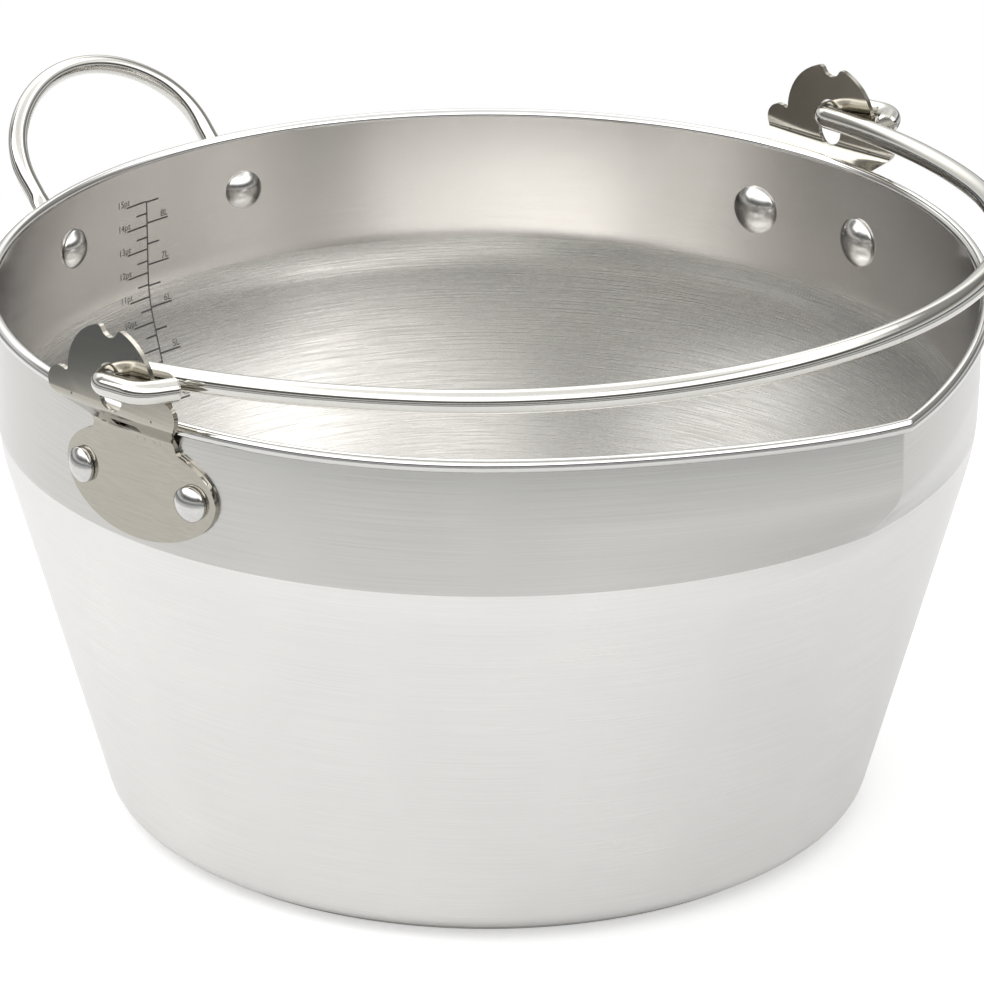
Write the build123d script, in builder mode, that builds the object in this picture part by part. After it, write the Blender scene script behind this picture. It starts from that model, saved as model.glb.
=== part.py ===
from build123d import *
from math import asin, atan2, cos, hypot, radians, sin, sqrt, tan
import os

# A stainless steel preserving pan with a pouring spout, a swinging bail and a fixed
# helper loop. Millimetres, +Z up. The origin is the centre of the underside of the
# base, +X points to the spout, the helper loop is at -X and the bail's ears at +Y and -Y.

os.makedirs("parts", exist_ok=True)

# Vessel: a coned wall that turns upright into a band, under a rolled rim
band_radius = 150.0
rim_height = 168.2
band_height = 47.2
bend_radius = 60.0
cone_foot_radius = 117.5
foot_corner_radius = 9.2
wall = 0.8
rim_bead_radius = 2.05
rim_lap = 0.1

# Pouring spout, pressed out of the band
spout_half_angle = 40.0
spout_reach = 18.5
spout_depth = 21.0
spout_fade = 30.0
spout_tip_radius = 3.0

# Bonded base: an aluminium core in a shallow steel cap
base_height = 1.8
base_inset = 6.5
cap_sheet = 0.5
cap_corner_radius = 0.8
core_clearance = 0.1

# Ears: one stamping each side, riveted to the band and joggled clear of the rim
ear_sheet = 1.6
ear_forward = 2.0
ear_standoff = 8.0
ear_plate_width = 60.8
ear_plate_height = 32.4
ear_waist_width = 33.0
joggle_foot_below_rim = 9.2
joggle_height = 12.0
ear_head_radius = 17.8
ear_head_drop = 2.6
ear_notch_radius = 3.65
ear_notch_depth = 3.6
ear_lobe_radius = 5.0
ear_lobe_offset = 21.2
lobe_edge_angle = 50.0
ear_hole_width = 9.0
ear_hole_height = 15.3
ear_hole_drop = 3.7
ear_slot_width = 11.0
ear_slot_height = 2.6
ear_slot_below_rim = 4.9
ear_peak_radius = 1.5
ear_lobe_corner_radius = 0.8
ear_waist_radius = 3.0
seat_gap = 0.05

# Rivets
shank_radius = 2.5
shank_clearance = 0.05
head_clearance = 0.02
ear_rivet_spacing = 44.0
ear_rivet_below_rim = 24.2
ear_rivet_head_radius = 7.9
ear_rivet_dome = 3.2
ear_button_radius = 5.4
ear_button_dome = 2.2
helper_rivet_below_rim = 19.2
helper_rivet_head_radius = 6.35
helper_rivet_dome = 3.0
helper_button_radius = 5.0
helper_button_dome = 1.8
head_skirt = 0.5
button_skirt = 1.4

# Bail: one bent rod whose ends pass out through the ears and close into eyes
bail_rod = 7.0
bail_overreach = 8.0
bail_tip_tightening = 8.0
bail_tip_half_angle = 60.0
bail_rest_angle = 3.5
bail_pivot_above_rim = 12.1
bail_lobe_gap = 0.3
eye_bend_radius = 6.1
eye_pin_length = 2.0
eye_leg_length = 8.0
eye_end_radius = 9.0
eye_end_angle = 60.0
eye_end_length = 6.0
rod_end_chamfer = 0.7

# Helper loop: a bent rod with flattened ends
helper_rod = 6.0
helper_span = 76.4
helper_foot_outset = 0.4
helper_foot_below_rim = 17.2
helper_height = 52.3
helper_lean_angle = 41.0
helper_crown_radius = 42.0
helper_shoulder_radius = 28.0
helper_pad_radius = 7.5
helper_pad_thickness = 2.4
helper_pad_corner = 0.6
helper_neck_width = 11.0
helper_neck_start = 6.2
helper_neck_end = 15.0
helper_neck_angle = 68.0
helper_neck_pull = 5.0
neck_steps = 5

# One overrun serves all cuts
overrun = 5.0

# Places worked out from the sizes above
vessel_floor = base_height
bend_height = rim_height - band_height
base_radius = cone_foot_radius - base_inset
cone_angle = atan2(band_radius - cone_foot_radius, bend_height - vessel_floor)
bend_top = bend_height + bend_radius * tan(cone_angle / 2)
bend_centre_radius = band_radius - bend_radius
rim_centre_height = rim_height - rim_bead_radius
rim_centre_radius = band_radius - wall + rim_lap + rim_bead_radius
spout_full_height = rim_height - spout_depth
spout_start_height = spout_full_height - spout_fade
bowl_split_height = min(spout_start_height, bend_top) - bend_radius * sin(cone_angle)
spout_angle = radians(spout_half_angle)
pivot_height = rim_height + bail_pivot_above_rim
ear_head_inside = band_radius + ear_standoff
ear_head_middle = ear_head_inside + ear_sheet / 2
ear_plate_inside = band_radius + seat_gap
joggle_foot_height = rim_height - joggle_foot_below_rim
joggle_top_height = joggle_foot_height + joggle_height
ear_rivet_height = rim_height - ear_rivet_below_rim
helper_rivet_height = rim_height - helper_rivet_below_rim
helper_pad_inside = band_radius + seat_gap
helper_pad_middle = helper_pad_inside + helper_pad_thickness / 2
helper_pad_outside = helper_pad_inside + helper_pad_thickness


def ease(share):
    """Smooth rise from 0 to 1 with level ends."""
    held = min(max(share, 0), 1)
    return held * held * (3 - 2 * held)


def polar(centre, radius, angle):
    """The point at an angle, in radians, on a circle."""
    return (centre[0] + radius * cos(angle), centre[1] + radius * sin(angle))


def wall_radius(height, inset):
    """Radius of the wall at a height, measured to a face that is inset from the outside."""
    arc_radius = bend_radius - inset
    bend_foot = bend_top - arc_radius * sin(cone_angle)
    if height >= bend_top:
        return band_radius - inset
    if height >= bend_foot:
        return bend_centre_radius + sqrt(arc_radius**2 - (bend_top - height) ** 2)
    arc_foot_radius = bend_centre_radius + arc_radius * cos(cone_angle)
    return arc_foot_radius - (bend_foot - height) * tan(cone_angle)


def spout_flank(height, inset):
    """Plan of one flank of the spout: its arc's centre and radius, and the tip's distance."""
    outside = wall_radius(height, 0)
    tip = outside + spout_reach * ease((height - spout_start_height) / spout_fade)
    shift = (tip**2 - outside**2) / (2 * (outside - tip * cos(spout_angle)))
    centre = (-shift * cos(spout_angle), -shift * sin(spout_angle))
    radius = wall_radius(height, inset) + shift
    return centre, radius, centre[0] + sqrt(radius**2 - centre[1] ** 2)


def lip_edges(height, inset):
    """Plan of the vessel at a height: a round with two flanks that meet in the spout's tip."""
    round_radius = wall_radius(height, inset)
    centre, radius, tip = spout_flank(height, inset)
    tip_angle = atan2(-centre[1], tip - centre[0])
    middle = polar(centre, radius, (tip_angle + spout_angle) / 2)
    seam = polar((0, 0), round_radius, spout_angle)
    with BuildLine() as outline:
        ThreePointArc(seam, (-round_radius, 0), (seam[0], -seam[1]))
        ThreePointArc((seam[0], -seam[1]), (middle[0], -middle[1]), (tip, 0))
        ThreePointArc((tip, 0), middle, seam)
    return outline.edges()


def radial_plane(bearing, height):
    """Plane through the pan's axis: local x runs outwards at the bearing, local y is up."""
    outward = (cos(bearing), sin(bearing), 0)
    return Plane(origin=(0, 0, height), x_dir=outward, z_dir=(outward[1], -outward[0], 0))


def facing_plane(bearing, height):
    """Upright plane on the pan's axis that faces outwards at the bearing."""
    outward = (cos(bearing), sin(bearing), 0)
    return Plane(origin=(0, 0, height), x_dir=(-outward[1], outward[0], 0), z_dir=outward)


ear_rivet_bearings = {
    side: [
        atan2(side * sqrt(band_radius**2 - place**2), place)
        for place in (ear_forward - ear_rivet_spacing / 2, ear_forward + ear_rivet_spacing / 2)
    ]
    for side in (-1, 1)
}
helper_rivet_bearings = [
    radians(180) + turn * asin(helper_span / 2 / helper_pad_middle) for turn in (-1, 1)
]
rivet_seats = [(bearing, ear_rivet_height) for side in (-1, 1) for bearing in ear_rivet_bearings[side]]
rivet_seats += [(bearing, helper_rivet_height) for bearing in helper_rivet_bearings]

# Vessel. The bowl is revolved. Above it the plan changes level by level from a round to
# the full spout, so the spout, the bend and the cone run into each other as pressed sheet does.
fade_steps = 12
fade_levels = [
    bowl_split_height + (spout_full_height - bowl_split_height) * step / fade_steps
    for step in range(fade_steps + 1)
]
with BuildPart() as pan_body:
    for inset, build_mode, top in (
        (0, Mode.ADD, rim_centre_height),
        (wall, Mode.SUBTRACT, rim_height + overrun),
    ):
        floor = vessel_floor + inset
        foot = (wall_radius(floor, inset), floor)
        with BuildSketch(Plane.XZ):
            Polygon(
                (0, floor),
                foot,
                (wall_radius(bowl_split_height, inset), bowl_split_height),
                (0, bowl_split_height),
                align=None,
            )
            fillet(vertices().sort_by_distance(foot)[0], foot_corner_radius - inset)
        revolve(axis=Axis.Z, mode=build_mode)
        for level in fade_levels:
            with BuildSketch(Plane.XY.offset(level)):
                make_face(lip_edges(level, inset))
        loft(mode=build_mode)
        with BuildSketch(Plane.XY.offset(spout_full_height)):
            make_face(lip_edges(spout_full_height, inset))
        extrude(amount=top - spout_full_height, mode=build_mode)

    # Rolled rim, along the round, both flanks and a small round at the tip
    rim_offset = rim_centre_radius - band_radius
    flank_centre, flank_radius = spout_flank(rim_centre_height, -rim_offset)[:2]
    tip_centre = flank_centre[0] + sqrt(
        (flank_radius - spout_tip_radius) ** 2 - flank_centre[1] ** 2
    )
    tip_turn = atan2(-flank_centre[1], tip_centre - flank_centre[0])
    flank_end = polar(flank_centre, flank_radius, tip_turn)
    flank_middle = polar(flank_centre, flank_radius, (tip_turn + spout_angle) / 2)
    rim_seam = polar((0, 0), rim_centre_radius, spout_angle)
    with BuildLine(Plane.XY.offset(rim_centre_height)) as rim_path:
        ThreePointArc(rim_seam, (-rim_centre_radius, 0), (rim_seam[0], -rim_seam[1]))
        ThreePointArc(
            (rim_seam[0], -rim_seam[1]),
            (flank_middle[0], -flank_middle[1]),
            (flank_end[0], -flank_end[1]),
        )
        ThreePointArc(
            (flank_end[0], -flank_end[1]), (tip_centre + spout_tip_radius, 0), flank_end
        )
        ThreePointArc(flank_end, flank_middle, rim_seam)
    rim_wire = rim_path.wires()[0]
    with BuildSketch(Plane(origin=rim_wire @ 0, z_dir=rim_wire % 0)):
        Circle(rim_bead_radius)
    sweep(path=rim_wire)

    for bearing, height in rivet_seats:
        with BuildSketch(facing_plane(bearing, height)):
            Circle(shank_radius + shank_clearance)
        extrude(amount=band_radius + overrun, mode=Mode.SUBTRACT)
pan_body.part.label = "pan_body"
export_step(pan_body.part, "parts/pan_body.step")


# Base: the aluminium core lies between the vessel's underside and the cap
with BuildPart() as base_core:
    with BuildSketch(Plane.XY.offset(cap_sheet)):
        Circle(base_radius - cap_sheet - core_clearance)
    extrude(amount=base_height - cap_sheet)
base_core.part.label = "base_core"
export_step(base_core.part, "parts/base_core.step")

with BuildPart() as base_cap:
    with BuildSketch():
        Circle(base_radius)
    extrude(amount=base_height)
    fillet(edges().group_by(Axis.Z)[0], cap_corner_radius)
    with BuildSketch(Plane.XY.offset(cap_sheet)):
        Circle(base_radius - cap_sheet)
    extrude(amount=base_height, mode=Mode.SUBTRACT)
base_cap.part.label = "base_cap"
export_step(base_cap.part, "parts/base_cap.step")


def sheet_edges(side, inside, round_radius):
    """A level slice of an ear's sheet: flat, or curved on the round radius when that is not None."""
    half_width = ear_plate_width / 2 + overrun
    near, far = ear_forward - half_width, ear_forward + half_width
    with BuildLine() as outline:
        if round_radius is None:
            outside = inside + ear_sheet
            Polyline(
                (near, side * inside),
                (far, side * inside),
                (far, side * outside),
                (near, side * outside),
                close=True,
            )
        else:
            rings = (round_radius, round_radius + ear_sheet)
            inner, outer = [
                [(place, side * sqrt(ring**2 - place**2)) for place in (near, ear_forward, far)]
                for ring in rings
            ]
            ThreePointArc(*inner)
            Line(inner[2], outer[2])
            ThreePointArc(*reversed(outer))
            Line(outer[0], inner[0])
    return outline.edges()


# Ears. The sheet is made first and the ear's outline is then stamped through it.
lobe_height = (
    pivot_height
    + ear_lobe_offset * sin(radians(bail_rest_angle))
    - bail_rod / 2
    - bail_lobe_gap
    - ear_lobe_radius
)
head_height = pivot_height - ear_head_drop
head_top = head_height + ear_head_radius
plate_foot = ear_rivet_height - ear_plate_height / 2
waist_side = ear_waist_width / 2
waist_foot = ear_rivet_height + ear_plate_height / 2 * sqrt(1 - (ear_waist_width / ear_plate_width) ** 2)
lobe_edge = polar((ear_lobe_offset, lobe_height), ear_lobe_radius, -radians(lobe_edge_angle))
waist_top = lobe_edge[1] - (lobe_edge[0] - waist_side) / tan(radians(lobe_edge_angle))
waist_half = [(waist_side, ear_rivet_height), (waist_side, waist_top), lobe_edge, (0, lobe_height)]
waist_outline = waist_half + [(-place, height) for place, height in reversed(waist_half[:-1])]
ear_corners = [
    ((ear_notch_radius, head_top), ear_peak_radius),
    ((ear_head_radius, head_height), ear_lobe_corner_radius),
    ((waist_side, waist_top), ear_waist_radius),
    ((waist_side, waist_foot), ear_waist_radius),
]
for side, ear_name in ((-1, "front_ear"), (1, "back_ear")):
    with BuildPart() as ear:
        with BuildSketch(Plane.XY.offset(plate_foot - overrun)):
            make_face(sheet_edges(side, None, ear_plate_inside))
        extrude(amount=joggle_foot_height - plate_foot + overrun)
        with BuildSketch(Plane.XY.offset(joggle_foot_height)):
            make_face(sheet_edges(side, None, ear_plate_inside))
        with BuildSketch(Plane.XY.offset(joggle_top_height)):
            make_face(sheet_edges(side, ear_head_inside, None))
        loft()
        with BuildSketch(Plane.XY.offset(joggle_top_height)):
            make_face(sheet_edges(side, ear_head_inside, None))
        extrude(amount=head_top - joggle_top_height)

        with BuildSketch(Plane(origin=(ear_forward, 0, 0), x_dir=(-side, 0, 0), z_dir=(0, side, 0))):
            with Locations((0, ear_rivet_height)):
                Ellipse(ear_plate_width / 2, ear_plate_height / 2)
            Polygon(*waist_outline, align=None)
            with Locations((0, head_height)):
                Circle(ear_head_radius)
            with Locations((-ear_lobe_offset, lobe_height), (ear_lobe_offset, lobe_height)):
                Circle(ear_lobe_radius)
            with Locations((0, head_top - ear_notch_depth + ear_notch_radius)):
                Circle(ear_notch_radius, mode=Mode.SUBTRACT)
            for place, radius in ear_corners:
                for turn in (-1, 1):
                    corner = vertices().sort_by_distance((turn * place[0], place[1]))[0]
                    fillet(corner, radius)
            with Locations((0, pivot_height - ear_hole_drop)):
                SlotOverall(ear_hole_height, ear_hole_width, rotation=90, mode=Mode.SUBTRACT)
            with Locations((0, rim_height - ear_slot_below_rim)):
                RectangleRounded(ear_slot_width, ear_slot_height, ear_slot_height / 3, mode=Mode.SUBTRACT)
        extrude(amount=ear_head_inside + overrun, mode=Mode.INTERSECT)
        for bearing in ear_rivet_bearings[side]:
            with BuildSketch(facing_plane(bearing, ear_rivet_height)):
                Circle(shank_radius + shank_clearance)
            extrude(amount=band_radius + overrun, mode=Mode.SUBTRACT)
    ear.part.label = ear_name
    export_step(ear.part, f"parts/{ear_name}.step")


def dome_sagitta(radius, rise):
    """Sagitta of the half arc from a dome's crown to its edge."""
    sphere_radius = (radius**2 + rise**2) / (2 * rise)
    return sphere_radius - sqrt(sphere_radius**2 - (radius**2 + rise**2) / 4)


def rivet_edges(inside, outside, head, button):
    """Half section of a rivet along its axis: inside head, shank and outside button."""
    head_radius, head_dome = head
    button_radius, button_dome = button
    head_foot = inside - head_skirt
    button_foot = outside + button_skirt
    crown = (head_foot - head_dome, 0)
    tip = (button_foot + button_dome, 0)
    with BuildLine() as outline:
        SagittaArc((head_foot, head_radius), crown, -dome_sagitta(head_radius, head_dome))
        Line(crown, tip)
        SagittaArc(tip, (button_foot, button_radius), -dome_sagitta(button_radius, button_dome))
        Polyline(
            (button_foot, button_radius),
            (outside, button_radius),
            (outside, shank_radius),
            (inside, shank_radius),
            (inside, head_radius),
            (head_foot, head_radius),
        )
    return outline.edges()


# Rivets
inner_radius = band_radius - wall
ear_rivet = (ear_rivet_head_radius, ear_rivet_dome), (ear_button_radius, ear_button_dome)
helper_rivet = (helper_rivet_head_radius, helper_rivet_dome), (helper_button_radius, helper_button_dome)
rivets = [
    (f"{ear}_rivet_{place}", bearing, ear_rivet_height, ear_plate_inside + ear_sheet, ear_rivet)
    for ear, side in (("front_ear", -1), ("back_ear", 1))
    for place, bearing in zip(("rear", "fore"), ear_rivet_bearings[side])
]
rivets += [
    (f"helper_rivet_{place}", bearing, helper_rivet_height, helper_pad_outside, helper_rivet)
    for place, bearing in zip(("back", "front"), helper_rivet_bearings)
]
for rivet_name, bearing, height, seat_radius, (head, button) in rivets:
    inside = sqrt(inner_radius**2 - head[0] ** 2) - head_clearance
    with BuildPart() as rivet:
        with BuildSketch(radial_plane(bearing, height)):
            make_face(rivet_edges(inside, seat_radius + head_clearance, head, button))
        revolve(axis=Axis((0, 0, height), (cos(bearing), sin(bearing), 0)))
    rivet.part.label = rivet_name
    export_step(rivet.part, f"parts/{rivet_name}.step")

# Helper loop. The rod's path lies in one leaning plane, and a neck joins each leg to its pad.
lean = radians(helper_lean_angle)
neck_lean = radians(helper_neck_angle)
leg = helper_span / 2
helper_plane = Plane(
    origin=(-(band_radius + helper_foot_outset), 0, rim_height - helper_foot_below_rim),
    x_dir=(0, 1, 0),
    z_dir=(cos(lean), 0, sin(lean)),
)
shoulder_place = leg - helper_shoulder_radius
crown_centre = helper_height - helper_crown_radius
shoulder_centre = crown_centre + sqrt(
    (helper_crown_radius - helper_shoulder_radius) ** 2 - shoulder_place**2
)
shoulder_turn = atan2(shoulder_centre - crown_centre, shoulder_place)
crown_end = polar((0, crown_centre), helper_crown_radius, shoulder_turn)
shoulder_middle = polar(
    (shoulder_place, shoulder_centre), helper_shoulder_radius, shoulder_turn / 2
)
with BuildPart() as helper_handle:
    with BuildLine(helper_plane) as loop_path:
        Line((leg, helper_neck_end), (leg, shoulder_centre))
        ThreePointArc((leg, shoulder_centre), shoulder_middle, crown_end)
        ThreePointArc(crown_end, (0, helper_height), (-crown_end[0], crown_end[1]))
        ThreePointArc(
            (-crown_end[0], crown_end[1]),
            (-shoulder_middle[0], shoulder_middle[1]),
            (-leg, shoulder_centre),
        )
        Line((-leg, shoulder_centre), (-leg, helper_neck_end))
    loop_wire = loop_path.wires()[0]
    with BuildSketch(Plane(origin=loop_wire @ 0, z_dir=loop_wire % 0)):
        Circle(helper_rod / 2)
    sweep(path=loop_wire)

    for side, bearing in zip((1, -1), helper_rivet_bearings):
        outward = Vector(cos(bearing), sin(bearing), 0)
        across = Vector(-sin(bearing), cos(bearing), 0)
        pad_centre = outward * helper_pad_inside + Vector(0, 0, helper_rivet_height)
        with BuildSketch(Plane(origin=pad_centre, x_dir=across, z_dir=outward)):
            Circle(helper_pad_radius)
        extrude(amount=helper_pad_thickness)
        pad_rim = edges(Select.LAST).filter_by(GeomType.CIRCLE).sort_by(Axis(pad_centre, outward))[-1]
        fillet(pad_rim, helper_pad_corner)

        neck_start = outward * helper_pad_middle + Vector(
            0, 0, helper_rivet_height + helper_neck_start
        )
        neck_end = helper_plane.from_local_coords(Vector(side * leg, helper_neck_end))
        start_run = outward * sin(neck_lean) + Vector(0, 0, cos(neck_lean))
        with BuildLine() as neck:
            Bezier(
                neck_start,
                neck_start + start_run * helper_neck_pull,
                neck_end - helper_plane.y_dir * helper_neck_pull,
                neck_end,
            )
        neck_wire = neck.wires()[0]
        for step in range(neck_steps + 1):
            share = step / neck_steps
            half_width = helper_neck_width / 2 + (helper_rod - helper_neck_width) / 2 * share
            half_depth = (
                helper_pad_thickness / 2 + (helper_rod - helper_pad_thickness) / 2 * ease(share)
            )
            run = neck_wire % share
            with BuildSketch(Plane(origin=neck_wire @ share, x_dir=across, z_dir=run)):
                Ellipse(half_width, half_depth)
        loft()
        with BuildSketch(Plane(origin=pad_centre, x_dir=across, z_dir=outward)):
            Circle(shank_radius + shank_clearance)
        extrude(amount=helper_pad_thickness + overrun, both=True, mode=Mode.SUBTRACT)
helper_handle.part.label = "helper_handle"
export_step(helper_handle.part, "parts/helper_handle.step")

# Bail. Its path lies in one plane through both pivots, tilted by the rest angle: local x
# runs from the pivots to the tip, local y to the back ear.
rest = radians(bail_rest_angle)
bail_plane = Plane(
    origin=(ear_forward, 0, pivot_height),
    x_dir=(cos(rest), 0, sin(rest)),
    z_dir=(-sin(rest), 0, cos(rest)),
)
bail_reach = band_radius + bail_overreach
bail_tip_radius = band_radius - bail_tip_tightening
tip_angle = radians(bail_tip_half_angle)
tip_centre = (bail_reach - bail_tip_radius, 0)
tip_end = polar(tip_centre, bail_tip_radius, tip_angle)
pin_start = ear_head_middle - eye_pin_length / 2
pin_end = ear_head_middle + eye_pin_length / 2
bend_centre = (eye_bend_radius, pin_start)
bend_reach = bail_tip_radius + eye_bend_radius
away = (bend_centre[0] - tip_centre[0], bend_centre[1])
side_shift = (bend_reach**2 - hypot(*away) ** 2) / (
    2 * (away[0] * cos(tip_angle) + away[1] * sin(tip_angle) - bend_reach)
)
side_radius = bail_tip_radius + side_shift
side_centre = polar(tip_centre, -side_shift, tip_angle)
side_turn = atan2(bend_centre[1] - side_centre[1], bend_centre[0] - side_centre[0])
side_end = polar(side_centre, side_radius, side_turn)
leg_place = pin_end + eye_bend_radius
leg_end = eye_bend_radius + eye_leg_length
curl_centre = (leg_end, leg_place - eye_end_radius)
curl_turn = radians(90 - eye_end_angle)
curl_end = polar(curl_centre, eye_end_radius, curl_turn)
bail_runs = [
    (tip_end, polar(side_centre, side_radius, (tip_angle + side_turn) / 2), side_end),
    (side_end, polar(bend_centre, eye_bend_radius, (side_turn + radians(360)) / 2), (0, pin_start)),
    ((0, pin_start), (0, pin_end)),
    (
        (0, pin_end),
        polar((eye_bend_radius, pin_end), eye_bend_radius, radians(135)),
        (eye_bend_radius, leg_place),
    ),
    ((eye_bend_radius, leg_place), (leg_end, leg_place)),
    (
        (leg_end, leg_place),
        polar(curl_centre, eye_end_radius, radians(90 - eye_end_angle / 2)),
        curl_end,
    ),
    (curl_end, polar(curl_end, eye_end_length, curl_turn - radians(90))),
]
with BuildPart() as bail_handle:
    with BuildLine(bail_plane) as bail_path:
        for run in reversed(bail_runs):
            mirrored = [(place, -width) for place, width in reversed(run)]
            if len(run) == 2:
                Line(*mirrored)
            else:
                ThreePointArc(*mirrored)
        ThreePointArc((tip_end[0], -tip_end[1]), (bail_reach, 0), tip_end)
        for run in bail_runs:
            if len(run) == 2:
                Line(*run)
            else:
                ThreePointArc(*run)
    bail_wire = bail_path.wires()[0]
    with BuildSketch(Plane(origin=bail_wire @ 0, z_dir=bail_wire % 0)):
        Circle(bail_rod / 2)
    sweep(path=bail_wire)
    for end in (bail_wire @ 0, bail_wire @ 1):
        chamfer(faces().sort_by_distance(end)[0].edges(), rod_end_chamfer)
bail_handle.part.label = "bail_handle"
export_step(bail_handle.part, "parts/bail_handle.step")
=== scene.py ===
"""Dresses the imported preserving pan: close meshes, finishes, print, light and camera, in metres."""

import logging
import math
from dataclasses import dataclass, field
from enum import Enum, IntEnum
from typing import Callable, Iterable, Sequence

import bmesh
import bpy
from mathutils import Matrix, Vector


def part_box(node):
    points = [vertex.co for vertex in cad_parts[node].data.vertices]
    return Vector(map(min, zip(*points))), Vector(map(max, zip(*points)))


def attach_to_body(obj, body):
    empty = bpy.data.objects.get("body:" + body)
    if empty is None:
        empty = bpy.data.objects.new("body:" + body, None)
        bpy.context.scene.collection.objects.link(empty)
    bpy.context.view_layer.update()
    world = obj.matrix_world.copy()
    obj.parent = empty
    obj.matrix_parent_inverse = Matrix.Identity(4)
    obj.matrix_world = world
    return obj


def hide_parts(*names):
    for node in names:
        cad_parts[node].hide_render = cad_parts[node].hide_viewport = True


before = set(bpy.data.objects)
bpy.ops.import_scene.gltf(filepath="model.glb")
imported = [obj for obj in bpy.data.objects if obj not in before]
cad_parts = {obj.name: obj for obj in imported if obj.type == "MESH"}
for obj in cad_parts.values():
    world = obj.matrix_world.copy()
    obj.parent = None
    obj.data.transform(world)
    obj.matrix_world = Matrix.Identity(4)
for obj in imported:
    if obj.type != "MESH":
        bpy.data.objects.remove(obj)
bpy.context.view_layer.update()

MM = 0.001
LITRE = 0.001
PINT = 0.568 * LITRE
log = logging.getLogger("preserving_pan")

Point = tuple[float, float, float]
Flat = tuple[float, float]
Stops = tuple[tuple[float, str], ...]


class Body(Enum):
    """The rigid bodies that pieces ride on."""

    PAN = "pan"
    BAIL = "bail"


class Slot(Enum):
    """The material slots of the record."""

    PAN = "pan_steel"
    CAP = "cap_steel"
    CORE = "core_aluminium"
    EAR = "ear_steel"
    ROD = "rod_steel"
    RIVET = "rivet_steel"


class Zone(IntEnum):
    """Where the vessel's finishes lie, in the order of its materials."""

    CONE_OUTSIDE = 0
    CONE_INSIDE = 1
    BAND = 2
    BEAD = 3
    BAND_INSIDE = 4


class Grain(Enum):
    """What the fine lines of a finish follow."""

    WALL = "UV"
    OBJECT = "Object"


def linear(hex_colour: str) -> tuple[float, float, float, float]:
    """Turns an sRGB hex colour to a linear one.

    Args:
        hex_colour: six hex digits after a hash.

    Returns:
        Linear red, green, blue and an alpha of 1.
    """
    values = [int(hex_colour[place : place + 2], 16) / 255 for place in (1, 3, 5)]
    straight = [v / 12.92 if v <= 0.04045 else ((v + 0.055) / 1.055) ** 2.4 for v in values]
    return (*straight, 1.0)


def add_node(
    tree: bpy.types.NodeTree,
    kind: str,
    settings: dict[str, object] | None = None,
    inputs: dict[str | int, object] | None = None,
) -> bpy.types.Node:
    """Adds a node with its settings, and its inputs set or linked.

    Args:
        tree: the tree that takes the node.
        kind: the node's type name.
        settings: attributes of the node.
        inputs: a value or an output socket for each named input.

    Returns:
        The new node.
    """
    node = tree.nodes.new(kind)
    for name, value in (settings or {}).items():
        setattr(node, name, value)
    for name, value in (inputs or {}).items():
        if isinstance(value, bpy.types.NodeSocket):
            tree.links.new(value, node.inputs[name])
        else:
            node.inputs[name].default_value = value
    return node


def set_ramp(node: bpy.types.Node, stops: Sequence[tuple[float, str]]) -> None:
    """Sets a colour ramp's stops.

    Args:
        node: the ramp node.
        stops: places from 0 to 1, each with an sRGB hex colour.
    """
    elements = node.color_ramp.elements
    while len(elements) < len(stops):
        elements.new(1.0)
    for element, (place, colour) in zip(elements, stops):
        element.position = place
        element.color = linear(colour)


@dataclass(frozen=True)
class LinedSteel:
    """Metal ground, rolled or drawn with an abrasive, which leaves fine lines one way.

    The lines tint the metal a little and change its roughness. The real ones lie about 0.1 mm apart.
    A picture of the whole pan can't show that, so line_spacing is two to five times coarser.
    """

    name: str
    dark: str
    pale: str
    roughness: float
    roughness_spread: float
    line_spacing: float
    line_length: float
    line_depth: float
    cloud_size: float = 60 * MM
    cloud_share: float = 0.35
    anisotropy: float = 0.0
    grain: Grain = Grain.WALL
    middle_share: Flat = (0.3, 0.7)

    def build(self) -> bpy.types.Material:
        """Builds the material.

        Returns:
            The material.
        """
        material = bpy.data.materials.new(self.name)
        material.use_nodes = True
        tree = material.node_tree
        shader = tree.nodes["Principled BSDF"]
        shader.inputs["Metallic"].default_value = 1.0
        place = add_node(tree, "ShaderNodeTexCoord").outputs[self.grain.value]
        scale = (1 / self.line_length, 1 / self.line_spacing, 1 / self.line_spacing)
        stretched = add_node(tree, "ShaderNodeMapping", inputs={"Vector": place, "Scale": scale})
        lines = add_node(
            tree,
            "ShaderNodeTexNoise",
            inputs={"Vector": stretched.outputs["Vector"], "Scale": 1.0, "Detail": 3.0, "Roughness": 0.65},
        )
        clouds = add_node(
            tree, "ShaderNodeTexNoise", inputs={"Vector": place, "Scale": 1 / self.cloud_size, "Detail": 2.0}
        )
        mixed = add_node(
            tree,
            "ShaderNodeMix",
            {"data_type": "FLOAT"},
            {"Factor": self.cloud_share, "A": lines.outputs["Fac"], "B": clouds.outputs["Fac"]},
        ).outputs["Result"]
        low, high = self.middle_share
        tint = add_node(tree, "ShaderNodeValToRGB", inputs={"Fac": mixed})
        set_ramp(tint, [(low, self.dark), (high, self.pale)])
        rough = add_node(
            tree,
            "ShaderNodeMapRange",
            inputs={
                "Value": mixed, "From Min": low, "From Max": high,
                "To Min": self.roughness + self.roughness_spread,
                "To Max": self.roughness - self.roughness_spread,
            },
        )
        bump = add_node(
            tree,
            "ShaderNodeBump",
            inputs={"Strength": 1.0, "Distance": self.line_depth, "Height": lines.outputs["Fac"]},
        )
        tree.links.new(tint.outputs["Color"], shader.inputs["Base Color"])
        tree.links.new(rough.outputs["Result"], shader.inputs["Roughness"])
        tree.links.new(bump.outputs["Normal"], shader.inputs["Normal"])
        if self.anisotropy:
            shader.inputs["Anisotropic"].default_value = self.anisotropy
            tangent = add_node(tree, "ShaderNodeTangent", {"direction_type": "RADIAL", "axis": "Z"})
            tree.links.new(tangent.outputs["Tangent"], shader.inputs["Tangent"])
        return material


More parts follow.
